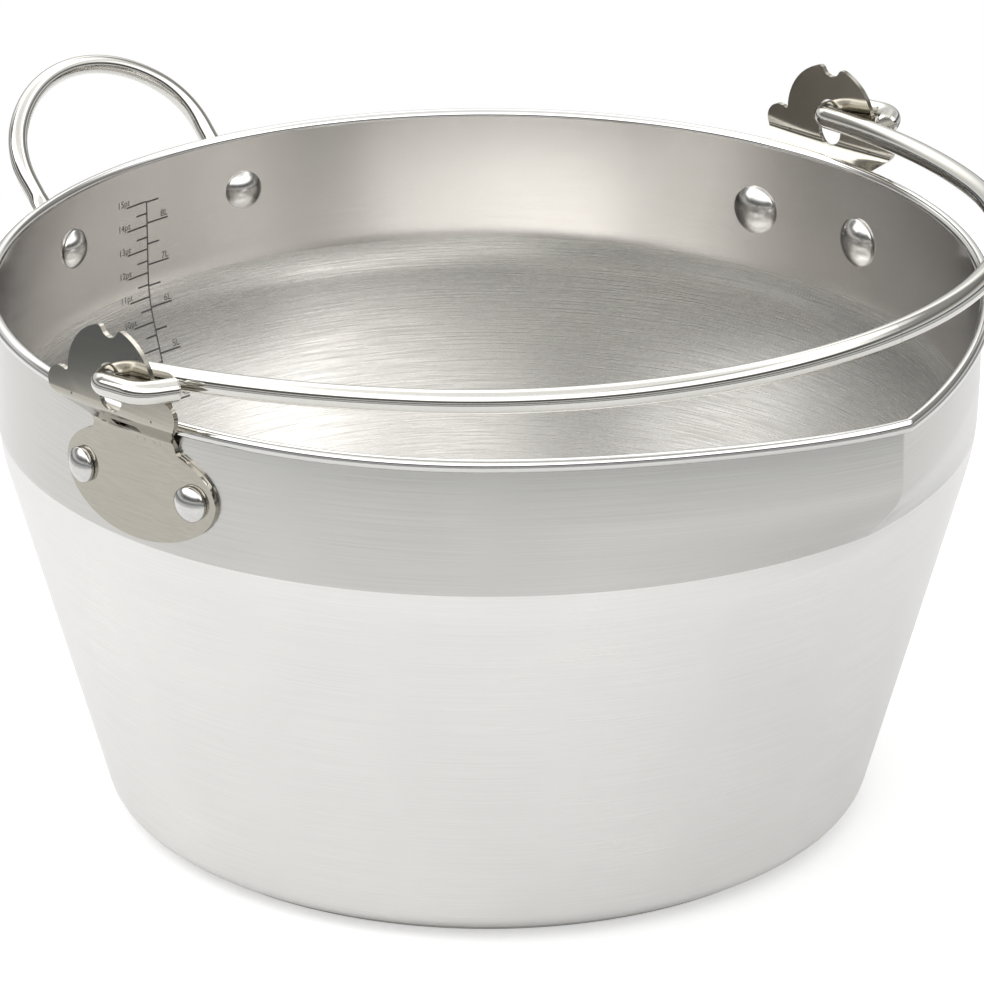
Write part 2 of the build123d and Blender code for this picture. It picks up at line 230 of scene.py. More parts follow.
@dataclass(frozen=True)
class EtchedMark:
    """Steel darkened by electrolytic etching: a flat grey that no longer shines."""

    name: str = "etched_scale_mark"
    dark: str = "#4a4845"
    pale: str = "#5e5b57"
    roughness: float = 0.55
    patch_size: float = 0.6 * MM

    def build(self) -> bpy.types.Material:
        """Builds the material, with the slightly uneven bite of the etch.

        Returns:
            The material.
        """
        material = bpy.data.materials.new(self.name)
        material.use_nodes = True
        tree = material.node_tree
        shader = tree.nodes["Principled BSDF"]
        shader.inputs["Metallic"].default_value = 0.3
        shader.inputs["Roughness"].default_value = self.roughness
        place = add_node(tree, "ShaderNodeTexCoord").outputs["Object"]
        bite = add_node(
            tree, "ShaderNodeTexNoise", inputs={"Vector": place, "Scale": 1 / self.patch_size}
        )
        tint = add_node(tree, "ShaderNodeValToRGB", inputs={"Fac": bite.outputs["Fac"]})
        set_ramp(tint, [(0.35, self.dark), (0.65, self.pale)])
        tree.links.new(tint.outputs["Color"], shader.inputs["Base Color"])
        return material


def lined(*values: str, **options: object) -> bpy.types.Material:
    """A dataclass field that holds a lined metal, built when its owner is."""
    return field(default_factory=lambda: LinedSteel(*values, **options).build())


@dataclass(frozen=True)
class Finishes:
    """Every finish of the pan, each built once."""

    # Stainless steel, belt polished round the band: soft mirror images, drawn out up and down; its colour is
    # painted darker than the cone's, as painted shade for the darker floor that the band reflects
    band: bpy.types.Material = lined(
        "satin_polished_stainless_band", "#bab9b6", "#cbcac7", roughness=0.2, roughness_spread=0.03,
        line_spacing=0.25 * MM, line_length=60 * MM, line_depth=0.0006 * MM, anisotropy=0.5,
    )
    # Stainless steel, ground fine as the pan turned: an even pale sheen with faint level lines
    cone_outside: bpy.types.Material = lined(
        "fine_ground_stainless_cone", "#dddcda", "#e9e8e6", roughness=0.3, roughness_spread=0.04,
        line_spacing=0.3 * MM, line_length=50 * MM, line_depth=0.001 * MM, anisotropy=0.4,
    )
    # Stainless steel, brushed with a coarser wheel: short level strokes that catch the light one by one
    cone_inside: bpy.types.Material = lined(
        "brushed_stainless_cone", "#cfcdca", "#eeedeb", roughness=0.27, roughness_spread=0.07,
        line_spacing=0.45 * MM, line_length=28 * MM, line_depth=0.003 * MM, anisotropy=0.6,
        cloud_share=0.2,
    )
    # Stainless steel, polished inside the band: brighter and clearer than the cone below it
    band_inside: bpy.types.Material = lined(
        "bright_polished_stainless_band", "#dddad7", "#ebe9e7", roughness=0.17, roughness_spread=0.03,
        line_spacing=0.25 * MM, line_length=60 * MM, line_depth=0.0006 * MM, anisotropy=0.5,
    )
    # Stainless steel, rolled over and buffed: one sharp white line with a dark one beside it
    bead: bpy.types.Material = lined(
        "polished_stainless_rim", "#cfcecc", "#dcdbd9", roughness=0.12, roughness_spread=0.03,
        line_spacing=0.3 * MM, line_length=40 * MM, line_depth=0.0004 * MM,
    )
    # Stainless sheet, stamped, tumbled and buffed: a warm mirror, dark where it faces the dark room; its
    # colour is also painted darker than the other steel, as painted shade
    ear: bpy.types.Material = lined(
        "mirror_polished_stainless_stamping", "#a5a197", "#b3afa5", roughness=0.12, roughness_spread=0.02,
        line_spacing=0.5 * MM, line_length=30 * MM, line_depth=0.0004 * MM, grain=Grain.OBJECT,
    )
    # Stainless rod, drawn and polished: clear long highlights, a little warm
    rod: bpy.types.Material = lined(
        "polished_stainless_rod", "#cfcdc7", "#dddbd6", roughness=0.1, roughness_spread=0.02,
        line_spacing=0.4 * MM, line_length=50 * MM, line_depth=0.0004 * MM, grain=Grain.OBJECT,
    )
    # Stainless steel, headed cold and tumbled: small dents all ways blur each head's picture of the room
    rivet: bpy.types.Material = lined(
        "tumbled_stainless_rivet", "#c6c5c3", "#dad9d7", roughness=0.19, roughness_spread=0.05,
        line_spacing=0.8 * MM, line_length=1.2 * MM, line_depth=0.004 * MM, grain=Grain.OBJECT,
    )
    # Stainless steel, faced on a lathe: a plain grey underside
    cap: bpy.types.Material = lined(
        "turned_stainless_base", "#bdbbb8", "#cfcecb", roughness=0.3, roughness_spread=0.05,
        line_spacing=0.5 * MM, line_length=40 * MM, line_depth=0.002 * MM, grain=Grain.OBJECT,
    )
    # Aluminium as rolled: bluer and duller than the steel
    core: bpy.types.Material = lined(
        "rolled_aluminium_core", "#c9cbce", "#dadcdf", roughness=0.35, roughness_spread=0.05,
        line_spacing=0.6 * MM, line_length=40 * MM, line_depth=0.002 * MM, grain=Grain.OBJECT,
    )
    mark: bpy.types.Material = field(default_factory=lambda: EtchedMark().build())


def new_piece(
    name: str,
    points: Sequence[Point],
    faces: Sequence[Sequence[int]],
    materials: Sequence[bpy.types.Material],
    face_materials: Sequence[int] | None = None,
    wall_places: Sequence[Flat] | None = None,
    sharp_angle: float = math.radians(40),
) -> bpy.types.Object:
    """Makes a smooth mesh object.

    Args:
        name: the piece's name.
        points: its corners, in metres.
        faces: corner numbers of each face.
        materials: its materials.
        face_materials: the material's number for each face, or None for the first.
        wall_places: a place on the unrolled wall for each corner of each face, in metres.
        sharp_angle: edges that turn more than this stay sharp.

    Returns:
        The new object, in the scene.
    """
    mesh = bpy.data.meshes.new(name)
    mesh.from_pydata(points, [], faces)
    for material in materials:
        mesh.materials.append(material)
    if face_materials is not None:
        mesh.polygons.foreach_set("material_index", face_materials)
    if wall_places is not None:
        layer = mesh.uv_layers.new(name="wall")
        layer.data.foreach_set("uv", [value for place in wall_places for value in place])
    mesh.update()
    finish_edges(mesh, sharp_angle)
    piece = bpy.data.objects.new(name, mesh)
    bpy.context.scene.collection.objects.link(piece)
    return piece


def finish_edges(mesh: bpy.types.Mesh, sharp_angle: float) -> None:
    """Shades a mesh smooth, but for edges that turn more than the sharp angle.

    Args:
        mesh: the mesh to shade.
        sharp_angle: its limit, in radians.
    """
    mesh.polygons.foreach_set("use_smooth", [True] * len(mesh.polygons))
    mesh.set_sharp_from_angle(angle=sharp_angle)
    mesh.update()


def attach(piece: bpy.types.Object, body: Body, slot: Slot, *nodes: str) -> None:
    """Makes a piece ride on a body and stand for CAD nodes, and reports it.

    Args:
        piece: the visible piece.
        body: the body that it rides on.
        slot: its material slot; not used.
        nodes: the CAD nodes that it stands for, if any.
    """
    if nodes:
        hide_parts(*nodes)
    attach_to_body(piece, body.value)
    log.info("%s rides on %s, stands for %s", piece.name, body.value, ", ".join(nodes) or "itself")


def ease(share: float) -> float:
    """Smooth rise from 0 to 1 with level ends."""
    held = min(max(share, 0.0), 1.0)
    return held * held * (3 - 2 * held)


def spread(start: float, end: float, steps: int) -> list[float]:
    """Evenly spaced values from start to end, both included."""
    return [start + (end - start) * step / steps for step in range(steps + 1)]


@dataclass
class Vessel:
    """The pressed vessel: floor, foot, cone, bend, band, spout and rolled rim."""

    finishes: Finishes
    wall: float = 0.8 * MM
    bead_radius: float = 2.05 * MM
    bead_lap: float = 0.1 * MM
    band_height: float = 47.2 * MM
    bend_radius: float = 60 * MM
    foot_radius: float = 117.5 * MM
    foot_corner: float = 9.2 * MM
    base_height: float = 1.8 * MM
    spout_angle: float = math.radians(46)
    spout_depth: float = 21 * MM
    spout_fade: float = 30 * MM
    spout_reach: float = 15 * MM
    spout_droop: float = 2.6 * MM
    crease_radius: float = 2.2 * MM
    finish_edge: float = 43.5 * MM
    ring_steps: int = 132
    flank_steps: int = 26
    crease_steps: int = 5

    def __post_init__(self) -> None:
        """Works out the places that follow from the frame and the sizes."""
        low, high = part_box("pan_body")
        self.rim_height = high.z
        self.band_radius = high.y + self.wall - self.bead_lap - 2 * self.bead_radius
        self.bend_height = self.rim_height - self.band_height
        rise = self.bend_height - self.base_height
        self.cone_angle = math.atan2(self.band_radius - self.foot_radius, rise)
        self.bend_top = self.bend_height + self.bend_radius * math.tan(self.cone_angle / 2)
        self.bend_centre = self.band_radius - self.bend_radius
        self.full_spout = self.rim_height - self.spout_depth
        self.spout_start = self.full_spout - self.spout_fade
        self.bead_height = self.rim_height - self.bead_radius
        self.bead_offset = self.bead_radius + self.bead_lap - self.wall

    def radius(self, height: float, inset: float = 0.0) -> float:
        """Radius of the wall at a height, to a face that is inset from the outside.

        Args:
            height: the height.
            inset: how far inside the outside it lies.

        Returns:
            The radius.
        """
        arc = self.bend_radius - inset
        bend_foot = self.bend_top - arc * math.sin(self.cone_angle)
        if height >= self.bend_top:
            return self.band_radius - inset
        if height >= bend_foot:
            return self.bend_centre + math.sqrt(arc**2 - (self.bend_top - height) ** 2)
        foot = self.bend_centre + arc * math.cos(self.cone_angle)
        return foot - (bend_foot - height) * math.tan(self.cone_angle)

    def crease_turn(self, height: float) -> float:
        """Half the turn that the spout's rounded crease takes at a height."""
        return self.plan(height)[3]

    def plan(self, height: float) -> tuple[float, Flat, float, float, float]:
        """The plan at a height.

        Args:
            height: the height.

        Returns:
            Round radius, flank centre (for +Y), flank radius, half turn of the crease and the
            distance of the crease's centre.
        """
        outside = self.radius(height)
        tip = outside + self.spout_reach * ease((height - self.spout_start) / self.spout_fade)
        shift = (tip**2 - outside**2) / (2 * (outside - tip * math.cos(self.spout_angle)))
        centre = (-shift * math.cos(self.spout_angle), -shift * math.sin(self.spout_angle))
        flank = outside + shift
        crease = centre[0] + math.sqrt((flank - self.crease_radius) ** 2 - centre[1] ** 2)
        return outside, centre, flank, math.atan2(-centre[1], crease - centre[0]), crease

    def wall_point(self, turn: float, height: float, offset: float) -> Point:
        """A point of the wall.

        Args:
            turn: bearing of the wall's outward side there, 0 at the spout.
            height: its height.
            offset: how far it lies outside the outer face.

        Returns:
            The point in the pan's frame.
        """
        outside, centre, flank, crease_turn, crease = self.plan(height)
        side = -1.0 if turn < 0 else 1.0
        bearing = abs(turn)
        if bearing < crease_turn:
            place, reach = (crease, 0.0), self.crease_radius + offset
        elif bearing < self.spout_angle:
            place, reach = centre, flank + offset
        else:
            place, reach = (0.0, 0.0), outside + offset
        across = place[1] + reach * math.sin(bearing)
        along = place[0] + reach * math.cos(bearing)
        pushed = (math.hypot(along, across) - outside - offset) / self.spout_reach
        return (along, side * across, height - self.spout_droop * ease(pushed))

    def turns(self, height: float) -> list[float]:
        """The bearings of the mesh's columns at a height, all the way round.

        Args:
            height: the height.

        Returns:
            Bearings from the spout round and back to it.
        """
        least = math.radians(1.0)
        edge = max(self.crease_turn(height), least)
        half = spread(0.0, edge, self.crease_steps)
        half += spread(edge, self.spout_angle, self.flank_steps)[1:]
        half += spread(self.spout_angle, math.pi, self.ring_steps)[1:]
        return half + [-turn for turn in reversed(half[1:-1])]

    def foot_arc(self, inset: float, steps: int = 8) -> list[Flat]:
        """Radii and heights round the foot's corner, from the floor to the cone.

        Args:
            inset: how far inside the outside the face lies.
            steps: number of steps.

        Returns:
            Radii and heights.
        """
        corner = self.foot_corner - inset
        middle = self.base_height + inset + corner
        centre = self.radius(middle, inset) - corner / math.cos(self.cone_angle)
        angles = spread(-math.pi / 2, -self.cone_angle, steps)
        return [(centre + corner * math.cos(a), middle + corner * math.sin(a)) for a in angles]

    def side_rows(self, inset: float) -> list[Flat]:
        """Offsets and heights of the rows from the floor's middle up to the rim, for one face.

        Args:
            inset: how far inside the outside the face lies.

        Returns:
            Offsets from the outer face, and heights.
        """
        corner = self.foot_arc(inset)
        floor = [(radius, corner[0][1]) for radius in spread(0.5 * MM, corner[0][0], 14)]
        rows = [(r - self.radius(z), z) for r, z in floor[:-1] + corner]
        cone_top = self.spout_start - self.bend_radius * math.sin(self.cone_angle)
        heights = spread(corner[-1][1], cone_top, 12)[1:]
        heights += spread(cone_top, self.full_spout, 44)[1:]
        heights += spread(self.full_spout, self.bead_height, 8)[1:]
        rows += [(self.radius(z, inset) - self.radius(z), z) for z in heights]
        return rows

    def section(self) -> tuple[list[Flat], list[Zone]]:
        """The wall's whole section, from the floor's underside over the rim to its top side.

        Returns:
            Rows as offset from the outer face and height, and the zone of each row.
        """
        meet = math.acos(-self.bead_offset / self.bead_radius)
        foot_of_bead = self.bead_height - self.bead_radius * math.sin(meet)
        outside = [row for row in self.side_rows(0.0) if row[1] < foot_of_bead]
        inside = self.side_rows(self.wall)
        bead = arc((self.bead_offset, self.bead_height), self.bead_radius, -meet, math.pi, 22)
        rows = outside + bead + list(reversed(inside))
        edge = self.rim_height - self.finish_edge
        zones = [Zone.BAND if z > edge else Zone.CONE_OUTSIDE for _, z in outside]
        zones += [Zone.BEAD] * len(bead)
        zones += [Zone.BAND_INSIDE if z > edge else Zone.CONE_INSIDE for _, z in reversed(inside)]
        return rows, zones

    def build(self) -> bpy.types.Object:
        """Builds the vessel as one closed sheet with a rolled rim.

        Returns:
            The vessel.
        """
        rows, zones = self.section()
        points: list[Point] = []
        places: list[list[Flat]] = []
        along = 0.0
        for number, (offset, height) in enumerate(rows):
            turns = self.turns(max(height, self.foot_corner))
            if number:
                along += math.dist(rows[number - 1], (offset, height))
            points += [self.wall_point(t, height, offset) for t in turns]
            places.append([(t * self.band_radius, along) for t in turns])
        count = len(places[0])
        faces: list[tuple[int, ...]] = []
        face_zones: list[int] = []
        wall_places: list[Flat] = []
        for row in range(len(rows) - 1):
            low, high = row * count, (row + 1) * count
            for column in range(count):
                after = (column + 1) % count
                faces.append((low + column, low + after, high + after, high + column))
                face_zones.append(zones[row])
                seam = 2 * math.pi * self.band_radius if column == count // 2 else 0.0
                far, far_up = places[row][after], places[row + 1][after]
                wall_places += [places[row][column], (far[0] + seam, far[1])]
                wall_places += [(far_up[0] + seam, far_up[1]), places[row + 1][column]]
        ends = (range(count - 1, -1, -1), range((len(rows) - 1) * count, len(rows) * count))
        for end, zone in zip(ends, (Zone.CONE_OUTSIDE, Zone.CONE_INSIDE)):
            faces.append(tuple(end))
            face_zones.append(zone)
            wall_places += [(0.0, 0.0)] * count
        f = self.finishes
        piece = new_piece(
            "vessel",
            points,
            faces,
            (f.cone_outside, f.cone_inside, f.band, f.bead, f.band_inside),
            face_zones,
            wall_places,
        )
        attach(piece, Body.PAN, Slot.PAN, "pan_body")
        return piece


def plane_point(origin: Point, right: Point, up: Point, place: Flat) -> Vector:
    """A point given by its place in a plane."""
    return Vector(origin) + Vector(right) * place[0] + Vector(up) * place[1]


def arc(centre: Flat, radius: float, start: float, end: float, steps: int) -> list[Flat]:
    """Points round an arc.

    Args:
        centre: the arc's centre.
        radius: its radius.
        start: first angle, in radians.
        end: last angle.
        steps: number of steps.

    Returns:
        Places in the arc's plane, both ends included.
    """
    angles = spread(start, end, steps)
    return [(centre[0] + radius * math.cos(a), centre[1] + radius * math.sin(a)) for a in angles]


def rod_mesh(
    path: Sequence[Vector],
    sections: Sequence[Flat],
    first_side: Vector,
    sides: int = 48,
    open_end: bool = True,
) -> tuple[list[Point], list[tuple[int, ...]]]:
    """Carries oval sections along a path without twist.

    Args:
        path: the middle line.
        sections: half width and half depth at each point of the path.
        first_side: direction of the width at the start.
        sides: corners in each section.
        open_end: whether the last section stays open, to be joined to its mirror image.

    Returns:
        Corners and faces of the rod.
    """
    points: list[Point] = []
    faces: list[tuple[int, ...]] = []
    side = first_side.copy()
    for number, (middle, (width, depth)) in enumerate(zip(path, sections)):
        before, after = path[max(number - 1, 0)], path[min(number + 1, len(path) - 1)]
        run = (after - before).normalized()
        side = (side - run * side.dot(run)).normalized()
        up = run.cross(side)
        for step in range(sides):
            angle = 2 * math.pi * step / sides
            points.append(tuple(middle + side * width * math.cos(angle) + up * depth * math.sin(angle)))
        if number:
            low = (number - 1) * sides
            for step in range(sides):
                after_step = (step + 1) % sides
                faces.append((low + step, low + after_step, low + sides + after_step, low + sides + step))
    faces.append(tuple(range(sides - 1, -1, -1)))
    if not open_end:
        faces.append(tuple(range(len(points) - sides, len(points))))
    return points, faces


def mirror_piece(piece: bpy.types.Object) -> None:
    """Adds the piece's mirror image on the other side of the pan's middle plane.

    Args:
        piece: half of a piece, open at the middle plane.
    """
    mirror = piece.modifiers.new("other_side", "MIRROR")
    mirror.use_axis = (False, True, False)
    mirror.merge_threshold = 0.02 * MM


def turned_mesh(
    profile: Sequence[Flat], origin: Vector, axis: Vector, steps: int = 64
) -> tuple[list[Point], list[tuple[int, ...]], list[Flat]]:
    """Turns a profile about an axis.

    Args:
        profile: places along the axis and radii, with the outward side on the left.
        origin: the axis's start.
        axis: its direction.
        steps: columns round it.

    Returns:
        Corners, faces and unrolled places of the turned shape.
    """
    right = axis.orthogonal().normalized()
    up = axis.cross(right)
    widest = max(radius for _, radius in profile)
    points: list[Point] = []
    faces: list[tuple[int, ...]] = []
    places: list[Flat] = []
    along = 0.0
    for row, (place, radius) in enumerate(profile):
        for column in range(steps):
            angle = 2 * math.pi * column / steps
            outward = right * math.cos(angle) + up * math.sin(angle)
            points.append(tuple(origin + axis * place + outward * radius))
        if not row:
            continue
        reach = math.dist(profile[row - 1], profile[row])
        for column in range(steps):
            after = (column + 1) % steps
            low, high = (row - 1) * steps, row * steps
            faces.append((low + column, high + column, high + after, low + after))
            near, far = (2 * math.pi * widest * c / steps for c in (column, column + 1))
            places += [(near, along), (near, along + reach), (far, along + reach), (far, along)]
        along += reach
    return points, faces, places


@dataclass
class Rivet:
    """A rivet with a broad domed head inside the pan and a small button outside."""

    name: str
    node: str
    bearing: float
    height: float
    seat: float
    head_radius: float
    head_dome: float
    button_radius: float
    button_dome: float
    wall_inside: float
    head_skirt: float = 0.5 * MM
    button_skirt: float = 1.4 * MM
    shank_radius: float = 2.5 * MM
    clearance: float = 0.02 * MM
    edge_round: float = 0.25 * MM

    def dome(self, foot: float, radius: float, rise: float, steps: int = 14) -> list[Flat]:
        """Places and radii from a dome's crown to its edge; a negative rise points inwards.

        Args:
            foot: place of its edge along the axis.
            radius: radius of its edge.
            rise: how far the crown stands beyond the edge.
            steps: number of steps.

        Returns:
            Places along the axis and radii.
        """
        ball = (radius**2 + rise**2) / (2 * abs(rise))
        turn = math.asin(radius / ball)
        side = math.copysign(1.0, rise)
        return [
            (foot + rise - side * ball * (1 - math.cos(a)), ball * math.sin(a))
            for a in spread(0.0005, turn, steps)
        ]

    def profile(self) -> list[Flat]:
        """The half section, from the crown of the inside head to that of the button.

        Returns:
            Places along the axis and radii.
        """
        inside = math.sqrt(self.wall_inside**2 - self.head_radius**2) - self.clearance
        head_foot = inside - self.head_skirt
        outside = self.seat + self.clearance
        button_foot = outside + self.button_skirt
        head = self.dome(head_foot, self.head_radius, -self.head_dome)
        button = self.dome(button_foot, self.button_radius, self.button_dome)
        shank = [(inside, self.shank_radius), (outside, self.shank_radius)]
        edge = self.edge_round
        head_edge = [(inside - edge, self.head_radius), (inside, self.head_radius - edge)]
        button_edge = [(outside, self.button_radius - edge), (outside + edge, self.button_radius)]
        return head + head_edge + shank + button_edge + list(reversed(button))

    def build(self, finishes: Finishes) -> bpy.types.Object:
        """Builds the rivet.

        Args:
            finishes: the pan's finishes.

        Returns:
            The rivet.
        """
        axis = Vector((math.cos(self.bearing), math.sin(self.bearing), 0.0))
        origin = Vector((0.0, 0.0, self.height))
        points, faces, places = turned_mesh(list(reversed(self.profile())), origin, axis, 56)
        sharp = math.radians(50)
        piece = new_piece(self.name, points, faces, (finishes.rivet,), wall_places=places, sharp_angle=sharp)
        attach(piece, Body.PAN, Slot.RIVET, self.node)
        return piece


@dataclass
class Base:
    """The disc base: a steel cap over an aluminium core."""

    finishes: Finishes
    cap_sheet: float = 0.5 * MM
    corner: float = 0.8 * MM
    ring_pitch: float = 9 * MM
    ring_depth: float = 0.08 * MM
    middle_hole: float = 0.2 * MM
    columns: int = 192

    def build(self) -> bpy.types.Object:
        """Builds the cap, with the shallow turned rings of its underside, and dresses the core.

        Returns:
            The cap.
        """
        low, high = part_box("base_cap")
        radius, top = high.x, high.z
        edge = radius - self.corner - 1.5 * self.ring_pitch
        underside = [
            (self.ring_depth * (0.5 - 0.5 * math.cos(2 * math.pi * r / self.ring_pitch)), r)
            for r in spread(self.middle_hole, edge, 90)
        ]
        corner = [
            (self.corner * (1 - math.cos(a)), radius - self.corner * (1 - math.sin(a)))
            for a in spread(0, math.pi / 2, 8)
        ]
        inner = radius - self.cap_sheet
        rim = [(top, radius), (top, inner), (self.cap_sheet, inner), (self.cap_sheet, self.middle_hole)]
        profile = list(reversed(underside + corner + rim))
        axis = Vector((0.0, 0.0, 1.0))
        points, faces, places = turned_mesh(profile, Vector((0.0, 0.0, low.z)), axis, self.columns)
        last = len(points) - self.columns
        faces += [tuple(range(self.columns)), tuple(range(len(points) - 1, last - 1, -1))]
        places += [(0.0, 0.0)] * (2 * self.columns)
        piece = new_piece("base_cap_turned", points, faces, (self.finishes.cap,), wall_places=places)
        attach(piece, Body.PAN, Slot.CAP, "base_cap")
        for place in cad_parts["base_core"].material_slots:
            place.material = self.finishes.core
        log.info("base_core keeps its mesh and takes the rolled aluminium finish")
        return piece


@dataclass
class Ear:
    """A stamped ear: joggled sheet with a notched crown, a hole for the bail and two side lobes."""

    finishes: Finishes
    node: str
    band_radius: float
    rim_height: float
    seat_gap: float = 0.05 * MM
    sheet: float = 1.6 * MM
    standoff: float = 8 * MM
    joggle_below_rim: float = 9.2 * MM
    joggle_height: float = 12 * MM
    slice_step: float = 0.8 * MM
    column_step: float = 3 * MM
    edge_round: float = 0.35 * MM
    edge_angle: float = math.radians(58)
    slope_step: float = 0.05 * MM
    facing_limit: float = math.cos(math.radians(15))
    half_width: float = 34 * MM
    weld: float = 0.001 * MM
    flat_angle: float = math.radians(0.05)

    def middle(self, across: float, height: float, share_of: Callable[[float], float]) -> float:
        """Distance of the sheet's middle from the pan's middle plane.

        Args:
            across: place along the pan's length.
            height: height of the place.
            share_of: how the rise from plate to head is spread over the joggle.

        Returns:
            The distance.
        """
        plate = math.sqrt((self.band_radius + self.seat_gap + self.sheet / 2) ** 2 - across**2)
        head = self.band_radius + self.standoff + self.sheet / 2
        share = (height - self.rim_height + self.joggle_below_rim) / self.joggle_height
        return plate + (head - plate) * share_of(min(max(share, 0.0), 1.0))

    def sheet_normal(self, place: Vector) -> Vector:
        """The way that the joggled sheet faces at a place, away from the pan.

        Args:
            place: a place on the ear.

        Returns:
            A unit vector.
        """
        step = self.slope_step
        across = self.middle(place.x + step, place.z, ease) - self.middle(place.x - step, place.z, ease)
        rise = self.middle(place.x, place.z + step, ease) - self.middle(place.x, place.z - step, ease)
        return Vector((-across, math.copysign(2 * step, place.y), -rise)).normalized()

    def shade(self, mesh: bpy.types.Mesh) -> None:
        """Gives both faces of the sheet the joggle's true normals, so that it shines evenly.

        Args:
            mesh: the ear's rounded mesh.
        """
        normals: dict[int, Vector] = {}
        for polygon in mesh.polygons:
            facing = polygon.normal.dot(self.sheet_normal(polygon.center))
            if abs(facing) > self.facing_limit:
                side = math.copysign(1.0, facing)
                for number in polygon.vertices:
                    normals[number] = self.sheet_normal(mesh.vertices[number].co) * side
        by_mesh = Vector((0.0, 0.0, 0.0))
        mesh.normals_split_custom_set([normals.get(loop.vertex_index, by_mesh) for loop in mesh.loops])

    def build(self) -> bpy.types.Object:
        """Builds the ear with a flowing joggle and the rounded edge that polishing leaves.

        Returns:
            The ear.
        """
        shape = bmesh.new()
        shape.from_mesh(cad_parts[self.node].data)
        bmesh.ops.remove_doubles(shape, verts=shape.verts, dist=self.weld)
        foot = self.rim_height - self.joggle_below_rim
        cuts = round(self.joggle_height / self.slice_step)
        slices = [((0.0, 0.0, z), (0.0, 0.0, 1.0)) for z in spread(foot, foot + self.joggle_height, cuts)]
        columns = spread(-self.half_width, self.half_width, round(2 * self.half_width / self.column_step))
        slices += [((x, 0.0, 0.0), (1.0, 0.0, 0.0)) for x in columns]
        for place, normal in slices:
            parts = shape.verts[:] + shape.edges[:] + shape.faces[:]
            bmesh.ops.bisect_plane(shape, geom=parts, plane_co=place, plane_no=normal, dist=self.weld)
        for vert in shape.verts:
            x, y, z = vert.co
            offset = abs(y) - self.middle(x, z, float)
            vert.co.y = math.copysign(self.middle(x, z, ease) + offset, y)
        edges = shape.edges
        bmesh.ops.dissolve_limit(shape, angle_limit=self.flat_angle, verts=shape.verts, edges=edges)
        mesh = bpy.data.meshes.new(self.node + "_stamped")
        shape.to_mesh(mesh)
        shape.free()
        mesh.materials.append(self.finishes.ear)
        finish_edges(mesh, self.edge_angle)
        piece = bpy.data.objects.new(self.node + "_stamped", mesh)
        bpy.context.scene.collection.objects.link(piece)
        bevel = piece.modifiers.new("rounded_edges", "BEVEL")
        bevel.width = self.edge_round
        bevel.segments = 2
        bevel.limit_method = "ANGLE"
        bevel.angle_limit = self.edge_angle
        depsgraph = bpy.context.evaluated_depsgraph_get()
        rounded = bpy.data.meshes.new_from_object(piece.evaluated_get(depsgraph))
        piece.modifiers.clear()
        piece.data = rounded
        self.shade(rounded)
        attach(piece, Body.PAN, Slot.EAR, self.node)
        return piece


